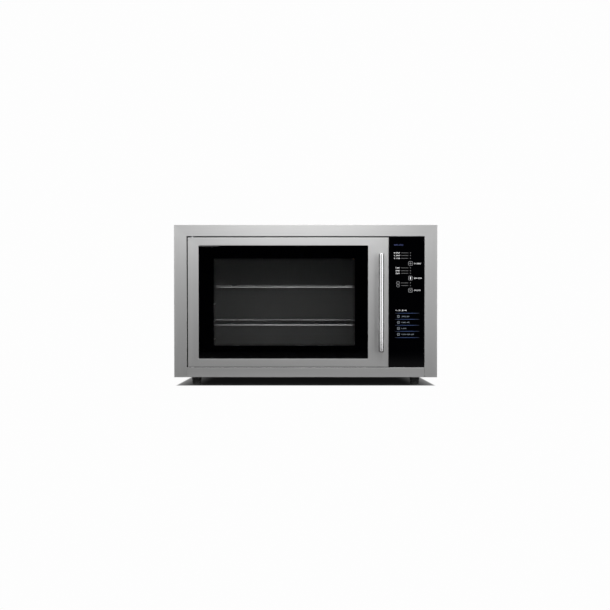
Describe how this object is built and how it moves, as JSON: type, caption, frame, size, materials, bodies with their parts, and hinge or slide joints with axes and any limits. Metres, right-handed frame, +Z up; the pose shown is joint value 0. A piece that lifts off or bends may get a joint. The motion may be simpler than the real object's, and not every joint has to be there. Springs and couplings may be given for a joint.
{
  "type": "countertop electric oven",
  "caption": "Countertop electric oven with a side-hung glass door, bar handle, touch control panel, wire racks, crumb tray and heating elements.",
  "frame": {"origin": "on the surface that the oven stands on, under the middle of its overall box, handle and rear gland included", "axes": "+Z up, +X to the right along the front, the front faces -Y"},
  "size_m": [0.59, 0.481, 0.36],
  "materials": {
    "cabinet_steel": "brushed",
    "plated_sheet": "satin",
    "cavity_sheet": "satin",
    "chrome": "polished",
    "clear_glass": "polished",
    "black_glass": "polished",
    "rubber": "matt",
    "dark_plastic": "matt",
    "circuit_board": "satin",
    "mineral_wool": "matt",
    "element_sheath": "satin",
    "brass": "satin"
  },
  "bodies": {
    "cabinet": {"outer_wrap": "cabinet_steel", "base_pan": "cabinet_steel", "back_cover": "plated_sheet", "front_plate": "plated_sheet", "cavity_floor": "cavity_sheet", "cavity_roof": "cavity_sheet", "cavity_left_wall": "cavity_sheet", "cavity_right_wall": "cavity_sheet", "cavity_back_wall": "cavity_sheet", "insulation_wrap": "mineral_wool", "insulation_back": "mineral_wool", "bay_shield": "plated_sheet", "rack_guide_left": "plated_sheet", "rack_guide_right": "plated_sheet", "upper_element": "element_sheath", "lower_element": "element_sheath", "upper_element_bracket": "plated_sheet", "lower_element_bracket": "plated_sheet", "lamp_housing": "plated_sheet", "lamp_bulb": "clear_glass", "lamp_lens": "clear_glass", "temperature_probe": "brass", "thermal_cutout": "dark_plastic", "fan_frame": "dark_plastic", "control_glass": "black_glass", "panel_carrier": "dark_plastic", "touch_board": "circuit_board", "power_board": "circuit_board", "terminal_block": "dark_plastic", "cord_gland": "rubber", "hinge_bracket_upper": "plated_sheet", "hinge_bracket_lower": "plated_sheet", "hinge_pin_upper": "plated_sheet", "hinge_pin_lower": "plated_sheet", "catch_magnet": "dark_plastic", "door_switch_body": "dark_plastic", "foot_front_left": "rubber", "foot_front_right": "rubber", "foot_rear_left": "rubber", "foot_rear_right": "rubber"},
    "door": {"door_frame": "cabinet_steel", "door_liner": "cabinet_steel", "door_glass_outer": "clear_glass", "door_glass_inner": "clear_glass", "door_seal": "rubber", "handle_bar": "chrome", "handle_post_upper": "chrome", "handle_post_lower": "chrome", "handle_screw_upper": "plated_sheet", "handle_screw_lower": "plated_sheet", "hinge_bush_upper": "dark_plastic", "hinge_bush_lower": "dark_plastic", "catch_keeper": "plated_sheet"},
    "rack_upper": {"upper_rack": "chrome"},
    "rack_lower": {"lower_rack": "chrome"},
    "tray": {"crumb_tray": "plated_sheet"},
    "fan_rotor": {"fan_impeller": "dark_plastic"},
    "switch_pin": {"door_switch_plunger": "brass"}
  },
  "joints": [
    {"name": "door_swing", "type": "hinge", "parent": "cabinet", "child": "door", "pos_m": [-0.2541, -0.1965, 0.18655], "axis": [0, 0, -1], "range_deg": [0, 110]},
    {"name": "upper_rack_slide", "type": "slide", "parent": "cabinet", "child": "rack_upper", "axis": [0, -1, 0], "range_m": [0, 0.0125]},
    {"name": "lower_rack_slide", "type": "slide", "parent": "cabinet", "child": "rack_lower", "axis": [0, -1, 0], "range_m": [0, 0.0125]},
    {"name": "tray_slide", "type": "slide", "parent": "cabinet", "child": "tray", "axis": [0, -1, 0], "range_m": [0, 0.012]},
    {"name": "fan_spin", "type": "hinge", "parent": "cabinet", "child": "fan_rotor", "pos_m": [0.239, 0.2262, 0.248], "axis": [0, 1, 0], "continuous": true},
    {"name": "switch_travel", "type": "slide", "parent": "cabinet", "child": "switch_pin", "axis": [0, -1, 0], "range_m": [0, 0.003]}
  ],
  "couplings": [
    {"joint": "switch_travel", "follows": "door_swing", "m_per_rad": 0.00156}
  ]
}
